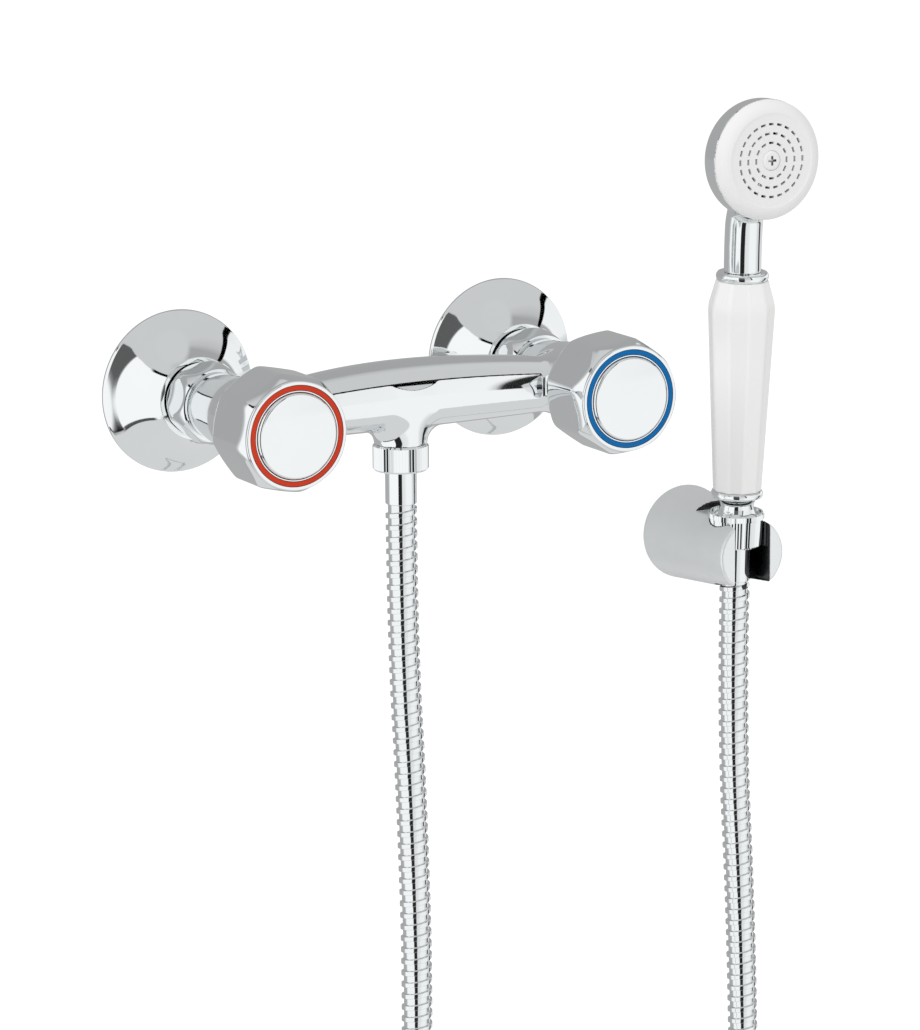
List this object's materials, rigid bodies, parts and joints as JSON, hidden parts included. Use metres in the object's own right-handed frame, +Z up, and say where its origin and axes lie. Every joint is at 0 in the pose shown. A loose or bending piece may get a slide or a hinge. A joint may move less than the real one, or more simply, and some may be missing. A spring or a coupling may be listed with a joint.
{
  "type": "wall shower mixer",
  "caption": "Chromed wall shower mixer with a bowed bar, hollow faceted knobs with coloured rings, a ribbed hose, and a hand shower in a wall bracket.",
  "frame": {"origin": "on the wall's face, midway between the two water inlets", "axes": "+X along the bar, from the hot side to the cold side; +Y into the wall; +Z up"},
  "size_m": [0.2994, 0.1278, 0.7222],
  "materials": {
    "polished_chrome": "polished",
    "satin_chrome": "satin",
    "plain_brass": "plain",
    "plain_steel": "plain",
    "black_rubber": "matt",
    "red_enamel": "gloss",
    "blue_enamel": "gloss",
    "white_plastic": "gloss"
  },
  "bodies": {
    "fixture": {"mixer_body": "polished_chrome", "hose_nut": "polished_chrome", "hose_washer": "black_rubber", "hose_ferrule": "polished_chrome", "hose": "polished_chrome", "bracket_body": "satin_chrome", "bracket_wall_plate": "plain_brass", "bracket_grub_screw": "plain_steel", "eccentric_union_hot": "polished_chrome", "escutcheon_hot": "polished_chrome", "union_nut_hot": "polished_chrome", "inlet_washer_hot": "black_rubber", "inlet_collar_hot": "plain_brass", "headwork_body_hot": "plain_brass", "spindle_oring_hot": "black_rubber", "eccentric_union_cold": "polished_chrome", "escutcheon_cold": "polished_chrome", "union_nut_cold": "polished_chrome", "inlet_washer_cold": "black_rubber", "inlet_collar_cold": "plain_brass", "headwork_body_cold": "plain_brass", "spindle_oring_cold": "black_rubber"},
    "knob_hot_turning": {"knob_hot": "polished_chrome", "index_ring_hot": "red_enamel", "knob_cap_hot": "polished_chrome", "knob_screw_hot": "plain_steel", "spindle_hot": "plain_brass"},
    "piston_hot_sliding": {"valve_piston_hot": "plain_brass", "valve_washer_hot": "black_rubber"},
    "knob_cold_turning": {"knob_cold": "polished_chrome", "index_ring_cold": "blue_enamel", "knob_cap_cold": "polished_chrome", "knob_screw_cold": "plain_steel", "spindle_cold": "plain_brass"},
    "piston_cold_sliding": {"valve_piston_cold": "plain_brass", "valve_washer_cold": "black_rubber"},
    "hose_end": {"handset_ferrule": "polished_chrome"},
    "handset": {"handset_nut": "polished_chrome", "handset_washer": "black_rubber", "handset_nipple": "polished_chrome", "nipple_oring": "black_rubber", "grip": "white_plastic", "upper_collar": "polished_chrome", "water_tube": "plain_brass", "neck_oring": "black_rubber", "head_shell": "polished_chrome", "spray_plate": "white_plastic", "spray_screw": "plain_steel", "spray_seal": "black_rubber"}
  },
  "joints": [
    {"name": "knob_hot_turn", "type": "hinge", "parent": "fixture", "child": "knob_hot_turning", "pos_m": [-0.075, -0.0946, 0], "axis": [0, -1, 0], "range_deg": [0, 900]},
    {"name": "valve_hot_slide", "type": "slide", "parent": "fixture", "child": "piston_hot_sliding", "axis": [0, -1, 0], "range_m": [0, 0.005]},
    {"name": "knob_cold_turn", "type": "hinge", "parent": "fixture", "child": "knob_cold_turning", "pos_m": [0.075, -0.0946, 0], "axis": [0, -1, 0], "range_deg": [0, 900]},
    {"name": "valve_cold_slide", "type": "slide", "parent": "fixture", "child": "piston_cold_sliding", "axis": [0, -1, 0], "range_m": [0, 0.005]},
    {"name": "handset_lift", "type": "slide", "parent": "fixture", "child": "hose_end", "axis": [0, -0.0349, 0.9994], "range_m": [0, 0.06], "deforming": ["hose"]},
    {"name": "handset_swivel", "type": "hinge", "parent": "hose_end", "child": "handset", "pos_m": [0.1655, -0.0457, -0.071], "axis": [0, -0.0349, 0.9994], "continuous": true}
  ],
  "couplings": [
    {"joint": "valve_hot_slide", "follows": "knob_hot_turn", "m_per_rad": 0.0003183},
    {"joint": "valve_cold_slide", "follows": "knob_cold_turn", "m_per_rad": 0.0003183}
  ]
}
